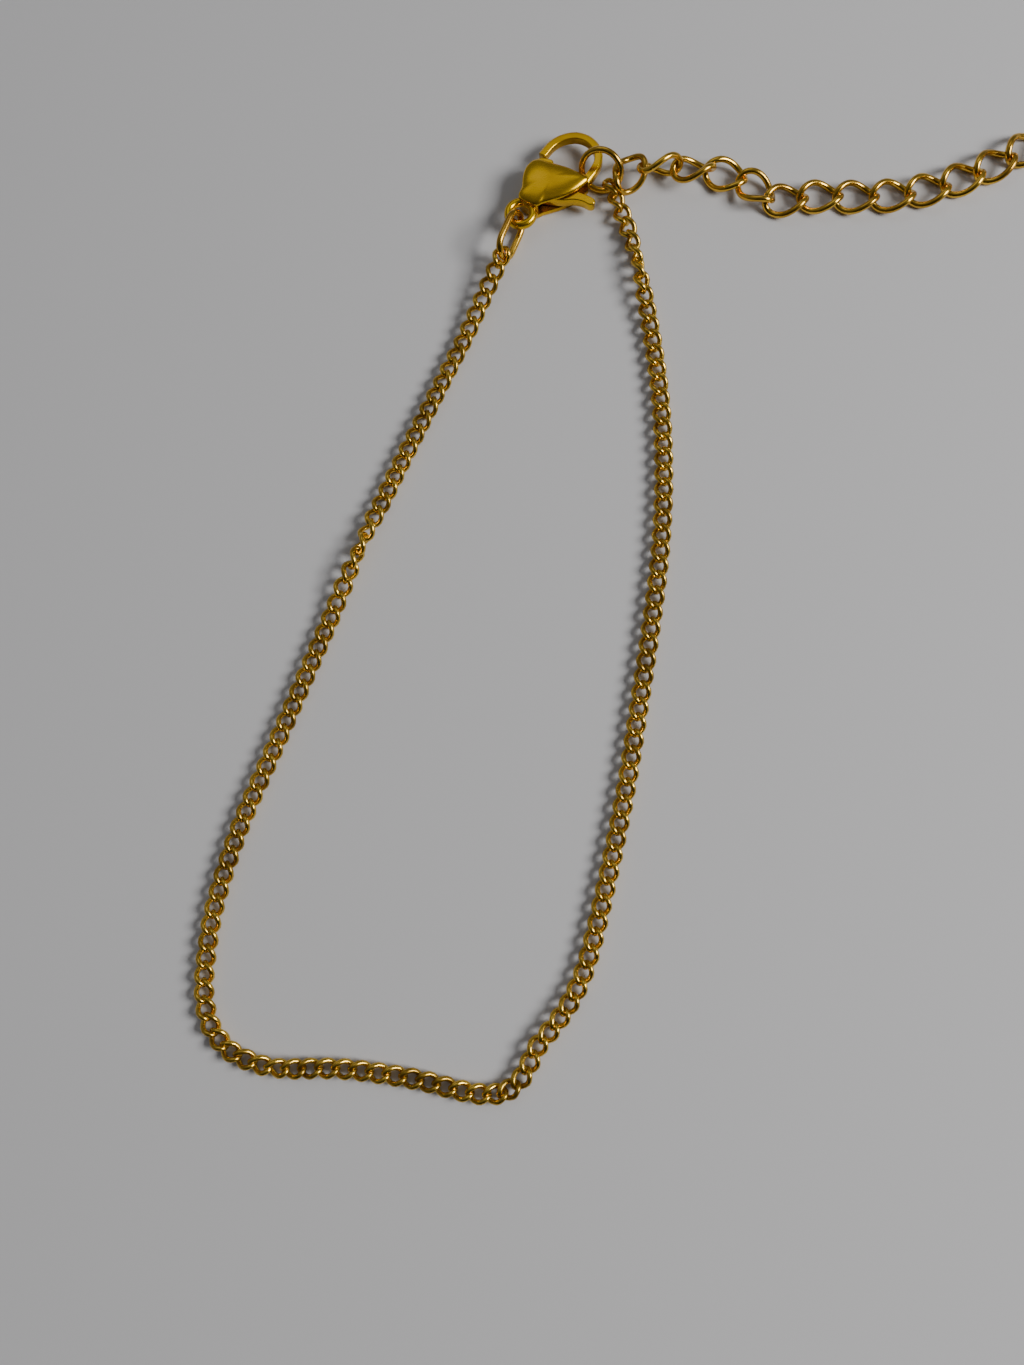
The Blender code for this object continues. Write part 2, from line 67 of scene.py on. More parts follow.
# Middle line on the table in millimetres, round the loop from the oval ring
LOOP_ROUTE = [
    (-11.7, 36.2), (-13.1, 33.1), (-16.6, 25.8), (-20.0, 18.7), (-23.3, 11.4), (-26.3, 4.0), (-29.3, -3.5),
    (-32.3, -10.9), (-35.3, -18.3), (-37.4, -25.6), (-38.1, -30.9), (-38.1, -34.2), (-37.4, -36.9),
    (-35.6, -39.1), (-33.0, -40.3), (-30.2, -40.8), (-24.5, -40.8), (-17.9, -41.6), (-13.4, -42.6),
    (-10.6, -42.9), (-8.5, -42.2), (-7.3, -40.6), (-6.3, -38.6), (-4.4, -36.3), (-2.6, -33.4), (-1.2, -29.6),
    (0.6, -22.4), (2.3, -14.6), (3.7, -6.6), (5.0, 1.2), (6.1, 9.2), (6.6, 17.2), (6.4, 25.2), (5.5, 33.1),
    (4.3, 40.1), (3.0, 45.0),
]
# Roll of the chain about its own line: share of the loop, degrees (left side up is positive)
LOOP_ROLL = [
    (0.00, -25), (0.03, 5), (0.06, 15), (0.13, 0), (0.145, 0), (0.19, 180), (0.42, 180), (0.44, 205),
    (0.455, 165), (0.47, 180), (0.56, 180), (0.585, 195), (0.60, 180), (0.92, 180), (0.94, 200), (1.00, 420),
]

# The rings and the clasp that the two ends hang on
MID_HEIGHT = 1.55 * MM         # middle of the clasp's eye and hook above the table
CLASP_PLACE = LOOP_MIDDLE + Vector((-7.50, 45.75, 0)) * MM
CLASP_TURN = radians(-30)
CLASP_MATRIX = Matrix.Translation(CLASP_PLACE) @ Matrix.Rotation(CLASP_TURN, 4, "Z")
EYE_HOLE = 0.85 * MM           # radius
EYE_DROP = 0.40 * MM           # the eye's middle below the clasp's own origin
EYE_MIDDLE = CLASP_MATRIX @ Vector((0, -EYE_DROP, 0))

CONNECTOR_WIRE = 0.60 * MM
CONNECTOR_RADIUS = 2.125 * MM  # of the wire's middle line
CONNECTOR_TILT = radians(60)
CONNECTOR_HEADING = radians(-20)
CONNECTOR_FRAME = Matrix.Rotation(CONNECTOR_HEADING, 3, "Z") @ Matrix.Rotation(CONNECTOR_TILT, 3, "X")
CONNECTOR_SEAT = CLASP_MATRIX @ Vector((4.45 * MM, 7.0 * MM, MID_HEIGHT))     # on the hook's arm
SEAT_TO_MIDDLE = 0.84 * MM
CONNECTOR_HEIGHT = CONNECTOR_WIRE / 2 + CONNECTOR_RADIUS * sin(CONNECTOR_TILT)
CONNECTOR_RISE = (CONNECTOR_HEIGHT - MID_HEIGHT) / sin(CONNECTOR_TILT)
CONNECTOR_MIDDLE = CONNECTOR_SEAT + CONNECTOR_FRAME @ Vector((SEAT_TO_MIDDLE, CONNECTOR_RISE, 0))
CHAIN_HANG = radians(-51)      # where the chain hangs round the connector ring, from its right side
HANG_POINT = (CONNECTOR_MIDDLE
              + CONNECTOR_FRAME @ Vector((cos(CHAIN_HANG), sin(CHAIN_HANG), 0)) * CONNECTOR_RADIUS)

OVAL_WIRE = 0.72 * MM
OVAL_HALF = 2.415 * MM         # of the wire's middle line
OVAL_SIDE = 1.39 * MM
OVAL_ROLL = radians(70)
OVAL_AIM = LOOP_MIDDLE + Vector((-9.85, 40.30, 0)) * MM     # on its line, ahead of the eye
OVAL_AHEAD = (OVAL_AIM - EYE_MIDDLE).normalized()
OVAL_HEIGHT = max(MID_HEIGHT, OVAL_WIRE / 2 + OVAL_SIDE * sin(OVAL_ROLL))
OVAL_NEAR = (EYE_MIDDLE + OVAL_AHEAD * (EYE_HOLE - OVAL_WIRE / 2 - JOIN_GAP)
             + Vector((0, 0, OVAL_HEIGHT)))
OVAL_FAR = OVAL_NEAR + OVAL_AHEAD * 2 * OVAL_HALF


def smooth_line(points, steps, closed=False):
    """Points on a smooth line through the given ones."""
    count = len(points)
    line = []
    for i in range(count if closed else count - 1):
        if closed:
            a, b, c, d = (points[(i + k) % count] for k in (-1, 0, 1, 2))
        else:
            a, b, c, d = (points[min(max(i + k, 0), count - 1)] for k in (-1, 0, 1, 2))
        for j in range(steps):
            t = j / steps
            line.append(0.5 * (2 * b + (c - a) * t + (2 * a - 5 * b + 4 * c - d) * t ** 2
                               + (3 * b - a - 3 * c + d) * t ** 3))
    if not closed:
        line.append(points[-1].copy())
    return line


def heading_frame(along, roll):
    """Rotation that takes X along a line, with Y to its left and turned up by the roll."""
    ahead = along.normalized()
    left = Vector((0, 0, 1)).cross(ahead).normalized()
    up = ahead.cross(left)
    columns = (ahead, left * cos(roll) + up * sin(roll), up * cos(roll) - left * sin(roll))
    return Matrix(columns).transposed()


def placed(turn, place):
    """The turn and the place in one matrix."""
    return Matrix.Translation(place) @ turn.to_4x4()


def curb_height(length, width, wire, most_twist, turn):
    """Height of a turned link's middle when its lowest point is on the table."""
    reach = (length - wire) / 2 / cos(pi / LINE_STEPS)
    lowest = 0.0
    for i in range(LINE_STEPS):
        t = tau * (i + 0.5) / LINE_STEPS
        across = (width - wire) / 2 * sin(t)
        twist = most_twist * cos(t)
        point = turn @ Vector((reach * cos(t), across * cos(twist), across * sin(twist)))
        lowest = min(lowest, point.z)
    return wire / 2 - lowest


def level(point):
    """The point on the table under the given one."""
    return Vector((point.x, point.y, 0))


def table_value(rows, share):
    """Value at a share of the length, between the rows of a table."""
    for (start, low), (end, high) in zip(rows, rows[1:]):
        if share <= end:
            return low + (high - low) * max(0.0, share - start) / (end - start)
    return rows[-1][1]


def loop_frames():
    """Where each fine link is and how it is turned, and how many are in the left strand."""
    link_reach = (FINE_LENGTH - FINE_WIRE) / 2
    route = [LOOP_MIDDLE + Vector((x, y, 0)) * MM for x, y in LOOP_ROUTE]
    first_turn = (route[0] - level(OVAL_FAR)).normalized()
    last_turn = (level(HANG_POINT) - route[-1]).normalized()
    first = level(OVAL_FAR) + first_turn * (link_reach - (OVAL_WIRE + FINE_WIRE) / 2 - JOIN_GAP)
    last = level(HANG_POINT) - last_turn * (link_reach - (CONNECTOR_WIRE + FINE_WIRE) / 2 - HANG_PLAY)
    line = smooth_line([first, *route, last], steps=ROUTE_STEPS)
    stations = [0.0]
    for a, b in zip(line, line[1:]):
        stations.append(stations[-1] + (b - a).length)
    slack = FINE_BITE + JOIN_GAP
    count = round((stations[-1] + slack) / FINE_PITCH) + 1
    pitch = (stations[-1] + slack) / (count - 1)
    split = round(LEFT_SHARE * count)
    places = []
    k = 0
    for i in range(count):
        station = i * pitch - (slack if i >= split else 0)
        while k < len(line) - 2 and stations[k + 1] < station:
            k += 1
        share = (station - stations[k]) / (stations[k + 1] - stations[k])
        places.append(line[k].lerp(line[k + 1], share))
    rolls = [radians(table_value(LOOP_ROLL, i / (count - 1))) for i in range(count)]
    ahead = [places[min(i + 1, count - 1)] - places[max(i - 1, 0)] for i in range(count)]
    rest = [curb_height(FINE_LENGTH, FINE_WIDTH, FINE_WIRE, FINE_TWIST, heading_frame(a, r))
            for a, r in zip(ahead, rolls)]
    for i in range(count):
        height = max(rest[max(0, i - 1):i + 2]) + CHAIN_LIFT
        places[i].z = max(height, OVAL_FAR.z - END_SLOPE * i, HANG_POINT.z - END_SLOPE * (count - 1 - i))
    frames = []
    for i in range(count):
        lifted_ahead = places[min(i + 1, count - 1)] - places[max(i - 1, 0)]
        frames.append(placed(heading_frame(lifted_ahead, rolls[i]), places[i]))
    return frames, split


def add_node(tree, kind, **settings):
    """A node, with its settings by name and its sockets by 'in_' and their number."""
    node = tree.nodes.new(kind)
    for key, value in settings.items():
        if key.startswith("in_"):
            socket = node.inputs[int(key[3:])]
            if isinstance(value, bpy.types.NodeSocket):
                tree.links.new(value, socket)
            else:
                socket.default_value = value
        else:
            setattr(node, key, value)
    return node


def math_node(tree, operation, a, b=0.0):
    """The result of one sum on two values."""
    return add_node(tree, "ShaderNodeMath", operation=operation, in_0=a, in_1=b).outputs[0]


def curb_link_tree():
    """Links along points: each a round wire bent to an oval whose ends are turned out of its plane."""
    tree = bpy.data.node_groups.new("curb_links", "GeometryNodeTree")
    tree.interface.new_socket("Places", in_out="INPUT", socket_type="NodeSocketGeometry")
    for label in ("Length", "Width", "Wire", "Twist"):
        tree.interface.new_socket(label, in_out="INPUT", socket_type="NodeSocketFloat")
    for label in ("Bend Steps", "Wire Sides"):
        tree.interface.new_socket(label, in_out="INPUT", socket_type="NodeSocketInt")
    tree.interface.new_socket("Finish", in_out="INPUT", socket_type="NodeSocketMaterial")
    tree.interface.new_socket("Links", in_out="OUTPUT", socket_type="NodeSocketGeometry")
    given = tree.nodes.new("NodeGroupInput").outputs

    circle = add_node(tree, "GeometryNodeCurvePrimitiveCircle", in_0=given["Bend Steps"], in_4=1.0)
    on_circle = tree.nodes.new("GeometryNodeInputPosition").outputs[0]
    spot = add_node(tree, "ShaderNodeSeparateXYZ", in_0=on_circle)
    reach = math_node(tree, "MULTIPLY", math_node(tree, "SUBTRACT", given["Length"], given["Wire"]), 0.5)
    half = math_node(tree, "MULTIPLY", math_node(tree, "SUBTRACT", given["Width"], given["Wire"]), 0.5)
    across = math_node(tree, "MULTIPLY", half, spot.outputs[1])
    twist = math_node(tree, "MULTIPLY", given["Twist"], spot.outputs[0])
    bent = add_node(tree, "ShaderNodeCombineXYZ",
                    in_0=math_node(tree, "MULTIPLY", reach, spot.outputs[0]),
                    in_1=math_node(tree, "MULTIPLY", across, math_node(tree, "COSINE", twist)),
                    in_2=math_node(tree, "MULTIPLY", across, math_node(tree, "SINE", twist)))
    oval = add_node(tree, "GeometryNodeSetPosition", in_0=circle.outputs[0], in_2=bent.outputs[0])
    section = add_node(tree, "GeometryNodeCurvePrimitiveCircle", in_0=given["Wire Sides"],
                       in_4=math_node(tree, "MULTIPLY", given["Wire"], 0.5))
    wire = add_node(tree, "GeometryNodeCurveToMesh", in_0=oval.outputs[0], in_1=section.outputs[0])
    link = add_node(tree, "GeometryNodeSetShadeSmooth", in_0=wire.outputs[0])
    turn = add_node(tree, "GeometryNodeInputNamedAttribute", data_type="FLOAT_VECTOR", in_0="turn")
    turned = add_node(tree, "FunctionNodeEulerToRotation", in_0=turn.outputs[0])
    spread = tree.nodes.new("GeometryNodeInstanceOnPoints")
    tree.links.new(given["Places"], spread.inputs["Points"])
    tree.links.new(link.outputs[0], spread.inputs["Instance"])
    tree.links.new(turned.outputs[0], spread.inputs["Rotation"])
    real = add_node(tree, "GeometryNodeRealizeInstances", in_0=spread.outputs[0])
    finished = tree.nodes.new("GeometryNodeSetMaterial")
    tree.links.new(real.outputs[0], finished.inputs["Geometry"])
    tree.links.new(given["Finish"], finished.inputs["Material"])
    add_node(tree, "NodeGroupOutput", in_0=finished.outputs[0])
    return tree


def plain_mesh(piece):
    """The piece's evaluated mesh in place of its modifiers."""
    bpy.context.view_layer.update()
    depsgraph = bpy.context.evaluated_depsgraph_get()
    mesh = bpy.data.meshes.new_from_object(piece.evaluated_get(depsgraph), depsgraph=depsgraph)
    piece.modifiers.clear()
    old = piece.data
    piece.data = mesh
    bpy.data.meshes.remove(old)
    mesh.name = piece.name


def new_piece(name, mesh):
    """An object in the scene, with its place in its mesh."""
    piece = bpy.data.objects.new(name, mesh)
    bpy.context.scene.collection.objects.link(piece)
    return piece


CURB_LINKS = curb_link_tree()


def add_links(name, frames, sizes, finish):
    """One piece of chain, with a link at each frame."""
    points = bpy.data.meshes.new(name)
    points.from_pydata([place.translation for place in frames], [], [])
    turns = points.attributes.new("turn", "FLOAT_VECTOR", "POINT")
    for item, place in zip(turns.data, frames):
        item.vector = place.to_euler()
    piece = new_piece(name, points)
    links = piece.modifiers.new("links", "NODES")
    links.node_group = CURB_LINKS
    for socket in CURB_LINKS.interface.items_tree:
        if socket.in_out == "INPUT" and socket.name in sizes:
            links[socket.identifier] = sizes[socket.name]
        elif socket.name == "Finish":
            links[socket.identifier] = finish
    plain_mesh(piece)
    return piece


TARNISH_START, TARNISH_END = 0.42, 0.74     # noise values between which the coat turns to tarnish
PATCH_DETAIL, LINE_DETAIL = 3.0, 4.0
LINE_HEADING = radians(35)
LINE_STRETCH = (1, 9, 4)                    # how much finer the rubbed lines are along X, Y and Z
RELIEF_DEPTH = 0.01 * MM


def polish_group():
    """Polished coat: colour and gloss that change in soft patches, and fine rubbed lines."""
    group = bpy.data.node_groups.new("rubbed_polish", "ShaderNodeTree")
    for label, kind in (("Coat", "NodeSocketColor"), ("Tarnish", "NodeSocketColor"),
                        ("Patch Size", "NodeSocketFloat"), ("Line Size", "NodeSocketFloat"),
                        ("Gloss", "NodeSocketFloat"), ("Haze", "NodeSocketFloat")):
        group.interface.new_socket(label, in_out="INPUT", socket_type=kind)
    for label, kind in (("Colour", "NodeSocketColor"), ("Roughness", "NodeSocketFloat"),
                        ("Height", "NodeSocketFloat")):
        group.interface.new_socket(label, in_out="OUTPUT", socket_type=kind)
    given = group.nodes.new("NodeGroupInput").outputs
    spot = group.nodes.new("ShaderNodeTexCoord").outputs["Object"]

    patches = group.nodes.new("ShaderNodeTexNoise")
    group.links.new(spot, patches.inputs["Vector"])
    group.links.new(math_node(group, "DIVIDE", 1.0, given["Patch Size"]), patches.inputs["Scale"])
    patches.inputs["Detail"].default_value = PATCH_DETAIL
    share = group.nodes.new("ShaderNodeMapRange")
    group.links.new(patches.outputs[0], share.inputs["Value"])
    share.inputs["From Min"].default_value = TARNISH_START
    share.inputs["From Max"].default_value = TARNISH_END
    colour = group.nodes.new("ShaderNodeMix")
    colour.data_type = "RGBA"
    group.links.new(share.outputs[0], colour.inputs["Factor"])
    group.links.new(given["Coat"], colour.inputs["A"])
    group.links.new(given["Tarnish"], colour.inputs["B"])

    stretch = group.nodes.new("ShaderNodeMapping")
    stretch.inputs["Rotation"].default_value = (0, 0, LINE_HEADING)
    stretch.inputs["Scale"].default_value = LINE_STRETCH
    group.links.new(spot, stretch.inputs["Vector"])
    lines = group.nodes.new("ShaderNodeTexNoise")
    group.links.new(stretch.outputs[0], lines.inputs["Vector"])
    group.links.new(math_node(group, "DIVIDE", 1.0, given["Line Size"]), lines.inputs["Scale"])
    lines.inputs["Detail"].default_value = LINE_DETAIL
    haze = math_node(group, "MULTIPLY", given["Haze"], share.outputs[0])
    rub = math_node(group, "MULTIPLY", given["Haze"], lines.outputs[0])
    rough = math_node(group, "ADD", given["Gloss"], math_node(group, "ADD", haze, rub))

    out = group.nodes.new("NodeGroupOutput")
    for source, label in ((colour.outputs["Result"], "Colour"), (rough, "Roughness"),
                          (lines.outputs[0], "Height")):
        group.links.new(source, out.inputs[label])
    return group


RUBBED_POLISH = polish_group()


def gold(name, coat, tarnish, patch, line, gloss, haze, relief):
    """Gold-coloured coat on polished brass."""
    made = bpy.data.materials.new(name)
    made.use_nodes = True
    tree = made.node_tree
    shader = tree.nodes["Principled BSDF"]
    shader.inputs["Metallic"].default_value = 1.0
    polish = tree.nodes.new("ShaderNodeGroup")
    polish.node_tree = RUBBED_POLISH
    for label, value in (("Coat", coat), ("Tarnish", tarnish), ("Patch Size", patch), ("Line Size", line),
                         ("Gloss", gloss), ("Haze", haze)):
        polish.inputs[label].default_value = value
    bump = tree.nodes.new("ShaderNodeBump")
    bump.inputs["Strength"].default_value = relief
    bump.inputs["Distance"].default_value = RELIEF_DEPTH
    tree.links.new(polish.outputs["Colour"], shader.inputs["Base Color"])
    tree.links.new(polish.outputs["Roughness"], shader.inputs["Roughness"])
    tree.links.new(polish.outputs["Height"], bump.inputs["Height"])
    tree.links.new(bump.outputs[0], shader.inputs["Normal"])
    return made


chain_gold = gold("fine_chain_gold", CHAIN_COLOUR, CHAIN_TARNISH, patch=2.4 * MM, line=0.5 * MM,
                  gloss=0.16, haze=0.12, relief=0.25)
fine_sizes = {"Length": FINE_LENGTH, "Width": FINE_WIDTH, "Wire": FINE_WIRE, "Twist": FINE_TWIST,
              "Bend Steps": FINE_BEND_STEPS, "Wire Sides": FINE_WIRE_SIDES}
link_frames, left_count = loop_frames()
for name, node, frames in (("fine_chain_left", "chain_left", link_frames[:left_count]),
                           ("fine_chain_right", "chain_right", link_frames[left_count:])):
    strand = add_links(name, frames, fine_sizes, chain_gold)
    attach(strand, "anklet")
    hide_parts(node)


# Extender chain
# Thirteen larger curb links of the same coated wire lie off to the right, so that the anklet can be let out.
# Each is open to the next, and the first hangs in the connector ring.

EXTENDER_WIRE = 0.66 * MM
EXTENDER_LENGTH = 4.90 * MM
EXTENDER_WIDTH = 3.70 * MM
EXTENDER_TWIST = radians(-45)
EXTENDER_BEND_STEPS = 40
EXTENDER_WIRE_SIDES = 14
EXTENDER_COLOUR = (0.82, 0.51, 0.07, 1)
EXTENDER_TARNISH = (0.45, 0.24, 0.035, 1)

# Links: middle in millimetres on the table, heading and roll in degrees, lift off the table in mm
EXTENDER_PLACES = [
    ((3.70, 49.50), 60, 11, 0.64),
    ((6.87, 49.97), 6, -73, 0.17),
    ((10.35, 49.78), 2, -28, 0.2),
    ((13.70, 49.25), -18, 8, 0.0),
    ((16.80, 47.55), -42, -6, 0.1),
    ((19.80, 46.20), 5, 0, 0.0),
    ((23.35, 46.45), 1, 0, 0.0),
    ((27.00, 46.25), 0, 0, 0.0),
    ((30.70, 46.25), 3, 0, 0.0),
    ((34.30, 46.75), 9, 0, 0.0),
    ((37.85, 47.85), 18, 0, 0.0),
    ((41.20, 49.30), 26, 0, 0.0),
    ((44.45, 51.05), 30, 0, 0.0),
]

extender_frames = []
for (x, y), heading, roll, lift in EXTENDER_PLACES:
    turn = heading_frame(Vector((cos(radians(heading)), sin(radians(heading)), 0)), radians(roll))
    height = curb_height(EXTENDER_LENGTH, EXTENDER_WIDTH, EXTENDER_WIRE, EXTENDER_TWIST, turn) + lift * MM
    extender_frames.append(placed(turn, LOOP_MIDDLE + Vector((x * MM, y * MM, height))))

extender_gold = gold("extender_gold", EXTENDER_COLOUR, EXTENDER_TARNISH, patch=4.0 * MM, line=0.7 * MM,
                     gloss=0.12, haze=0.10, relief=0.25)
extender_sizes = {"Length": EXTENDER_LENGTH, "Width": EXTENDER_WIDTH, "Wire": EXTENDER_WIRE,
                  "Twist": EXTENDER_TWIST, "Bend Steps": EXTENDER_BEND_STEPS,
                  "Wire Sides": EXTENDER_WIRE_SIDES}
extender = add_links("extender_chain", extender_frames, extender_sizes, extender_gold)
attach(extender, "anklet")
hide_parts(*("extender_link_%02d" % number for number in range(1, len(EXTENDER_PLACES) + 1)))


# Connector ring
# A jump ring of thicker coated wire, bent round and closed, leans on the clasp's hook. The fine chain and the
# extender both hang in it.

RING_WIRE = 0.66 * MM          # a little thicker than the solid that it stands for
RING_BEND_STEPS = 72
RING_WIRE_SIDES = 16
WELD_GAP = 0.0002 * MM


def new_mesh(name, shape):
    """A mesh of the shape, with its doubles merged and its faces pointing outwards."""
    bmesh.ops.remove_doubles(shape, verts=shape.verts, dist=WELD_GAP)
    bmesh.ops.recalc_face_normals(shape, faces=shape.faces)
    mesh = bpy.data.meshes.new(name)
    shape.to_mesh(mesh)
    shape.free()
    return mesh


def wire_loop(name, line, wire, sides):
    """A closed loop of round wire along a level line, with its wire's middle in the line's plane."""
    shape = bmesh.new()
    count = len(line)
    rings = []
    for i in range(count):
        ahead = (line[(i + 1) % count] - line[i - 1]).normalized()
        out = Vector((ahead.y, -ahead.x, 0))
        rings.append([shape.verts.new(line[i] + (out * cos(tau * k / sides)
                                                 + Vector((0, 0, sin(tau * k / sides)))) * wire / 2)
                      for k in range(sides)])
    for i in range(count):
        this, after = rings[i], rings[(i + 1) % count]
        for k in range(sides):
            m = (k + 1) % sides
            shape.faces.new((this[k], after[k], after[m], this[m])).smooth = True
    return new_mesh(name, shape)


round_line = [Vector((cos(tau * i / RING_BEND_STEPS), sin(tau * i / RING_BEND_STEPS), 0)) * CONNECTOR_RADIUS
              for i in range(RING_BEND_STEPS)]
ring_mesh = wire_loop("jump_ring", round_line, RING_WIRE, RING_WIRE_SIDES)
ring_lift = Vector((0, 0, (RING_WIRE - CONNECTOR_WIRE) / 2))
ring_mesh.transform(placed(CONNECTOR_FRAME, CONNECTOR_MIDDLE + ring_lift))
ring_mesh.materials.append(extender_gold)
jump_ring = new_piece("jump_ring", ring_mesh)
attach(jump_ring, "anklet")
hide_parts("connector_ring")


# Oval ring
# An oval ring of the thickest coated wire, with straight sides, joins the fine chain's first link to the
# clasp's eye. It is bent round and closed.

OVAL_BEND_STEPS = 20           # round each of its two ends
oval_line = []
for side in (1, -1):
    for i in range(OVAL_BEND_STEPS + 1):
        angle = pi * (i / OVAL_BEND_STEPS - 0.5)
        bend = Vector((cos(angle), sin(angle), 0)) * OVAL_SIDE
        oval_line.append(side * (bend + Vector((OVAL_HALF - OVAL_SIDE, 0, 0))))
oval_mesh = wire_loop("oval_ring", oval_line, OVAL_WIRE, RING_WIRE_SIDES)
oval_mesh.transform(placed(heading_frame(OVAL_AHEAD, -OVAL_ROLL), (OVAL_NEAR + OVAL_FAR) / 2))
oval_mesh.materials.append(extender_gold)
oval_ring = new_piece("oval_ring", oval_mesh)
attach(oval_ring, "anklet")
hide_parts("end_ring")


# Lobster clasp: casting
# One polished casting is the domed body with its two cheeks, the curved hook and the eye. The lever's pin
# crosses the slot between the cheeks.

BODY_THICKNESS = 3.1 * MM
BODY_RIM = 2.35 * MM           # height at which the dome springs from the side wall
DOME_ROUNDING = 2.1 * MM       # how far in from its outline the dome still rises
DOME_STEEP_RINGS = 2           # next to the rim, which keep their heights when the dome is smoothed
DOME_SMOOTHING = 40            # times that each height is evened out with those round it
CURVE_STEPS = 5                # points from one row of an outline to the next
EYE_OUTER = 1.75 * MM
EYE_THICKNESS = 1.05 * MM
HOOK_WIDTH = 0.85 * MM
HOOK_THICKNESS = 1.15 * MM
HOOK_EDGE = 0.20 * MM          # width of its broken edges
HOOK_INNER_EDGE = 0.06 * MM    # and of the top one inside the curve
SLOT_HEIGHT = 1.6 * MM
SLOT_REACH = 8 * MM
SLOT_HUB = 1.3 * MM
NOSE_ROOM = (48, 163)          # degrees about the pin that the slot leaves free for the nose
TAB_ROOM = (-68, 32)           # and for the tab
FLANK_ROOM = -114              # and how far round it leaves a pocket for the lever's flank
FLANK_REACH = 2.3 * MM
PIVOT = Vector((0.3 * MM, 3.4 * MM, MID_HEIGHT))
PIN_RADIUS = 0.35 * MM
PIN_BITE = 0.20 * MM           # how far each end of the pin is in its cheek
CAST_EDGE = 0.05 * MM          # rounding of the casting's edges
EDGE_ANGLE = radians(32)       # from which an edge is rounded
SHARP_ANGLE = radians(38)      # and from which one stays sharp in the shading

CLASP_COLOUR = (0.80, 0.49, 0.02, 1)
CLASP_TARNISH = (0.60, 0.34, 0.015, 1)

# Outlines in the clasp's own millimetres, X across it and Y from the eye towards the hook
DOME_OUTLINE = [
    (-0.8, 0.7), (-1.15, 1.9), (-1.65, 3.0), (-1.85, 4.0), (-1.65, 4.9), (-1.1, 5.42), (-0.1, 5.62),
    (0.9, 5.8), (1.9, 5.98), (2.6, 6.03), (3.3, 6.05), (3.9, 6.1), (4.4, 6.02), (4.66, 5.7), (4.55, 5.15),
    (4.3, 4.5), (3.9, 3.7), (3.25, 2.8), (2.5, 2.0), (1.75, 1.25), (1.1, 0.6),
]
DOME_CROWN = Vector((1.3, 4.2, 0)) * MM
# The body's rings run at shares of its outline: first the side wall's, with their heights
SIDE_WALL = [(0.90, 0), (0.96, 0.06 * MM), (0.99, 0.14 * MM), (1, 0.25 * MM), (1, BODY_RIM)]
DOME_SHARES = [0.985, 0.965, 0.94, 0.91, 0.87, 0.82, 0.76, 0.69, 0.61, 0.52, 0.42, 0.31, 0.20, 0.10, 0.03]
HOOK_LINE = [
    (4.32, 5.75), (4.42, 6.6), (4.47, 7.4), (4.38, 8.3), (3.92, 9.2), (3.08, 9.85), (2.05, 10.12),
    (0.97, 9.95), (0.12, 9.42), (-0.55, 8.67), (-0.98, 7.75), (-1.22, 6.3),
]


def clasp_points(rows):
    """Points in metres from rows in the clasp's own millimetres."""
    return [Vector((u, v, 0)) * MM for u, v in rows]


def arc(radius, start, end, step=6):
    """Points on an arc, from and to an angle in degrees."""
    count = max(1, round(abs(end - start) / step))
    angles = [radians(start + (end - start) * i / count) for i in range(count + 1)]
    return [Vector((radius * cos(angle), radius * sin(angle), 0)) for angle in angles]


def circle(radius, step=15):
    """Points round a whole circle."""
    return arc(radius, 0, 360 - step, step)


def skin(name, rings, closed_rings=False):
    """A closed skin through rings of points, with flat ends unless the rings close on themselves."""
    shape = bmesh.new()
    verts = [[shape.verts.new(point) for point in ring] for ring in rings]
    pairs = list(zip(verts, verts[1:]))
    if closed_rings:
        pairs.append((verts[-1], verts[0]))
    for this, after in pairs:
        for i in range(len(this)):
            k = (i + 1) % len(this)
            shape.faces.new((this[i], this[k], after[k], after[i]))
    if not closed_rings:
        shape.faces.new(verts[0])
        shape.faces.new(verts[-1])
    return new_mesh(name, shape)


def rim_distance(point, outline):
    """How far a point is from the outline round it."""
    distances = []
    for k, end in enumerate(outline):
        start = outline[k - 1]
        along = end - start
        share = min(1.0, max(0.0, (point - start).dot(along) / along.length_squared))
        distances.append((point - start - along * share).length)
    return min(distances)


def dome_mesh():
    """The body: side walls that roll over into a dome with no ridge."""
    outline = smooth_line(clasp_points(DOME_OUTLINE), closed=True, steps=CURVE_STEPS)
    count = len(outline)
    shares = [share for share, _ in SIDE_WALL] + DOME_SHARES
    rings = [[DOME_CROWN + (point - DOME_CROWN) * share for point in outline] for share in shares]
    heights = [[height] * count for _, height in SIDE_WALL]
    for ring in rings[len(SIDE_WALL):]:
        row = []
        for point in ring:
            t = min(1.0, rim_distance(point, outline) / DOME_ROUNDING)
            row.append(BODY_RIM + (BODY_THICKNESS - BODY_RIM) * sqrt(t * (2 - t)))
        heights.append(row)
    for _ in range(DOME_SMOOTHING):
        for r in range(len(SIDE_WALL) + DOME_STEEP_RINGS, len(rings) - 1):
            below, row, above = heights[r - 1:r + 2]
            heights[r] = [(row[i] * 2 + row[i - 1] + row[(i + 1) % count] + below[i] + above[i]) / 6
                          for i in range(count)]
        heights[-1] = [sum(heights[-2]) / count] * count
    return skin("clasp_casting", [[point + Vector((0, 0, height)) for point, height in zip(ring, row)]
                                  for ring, row in zip(rings, heights)])


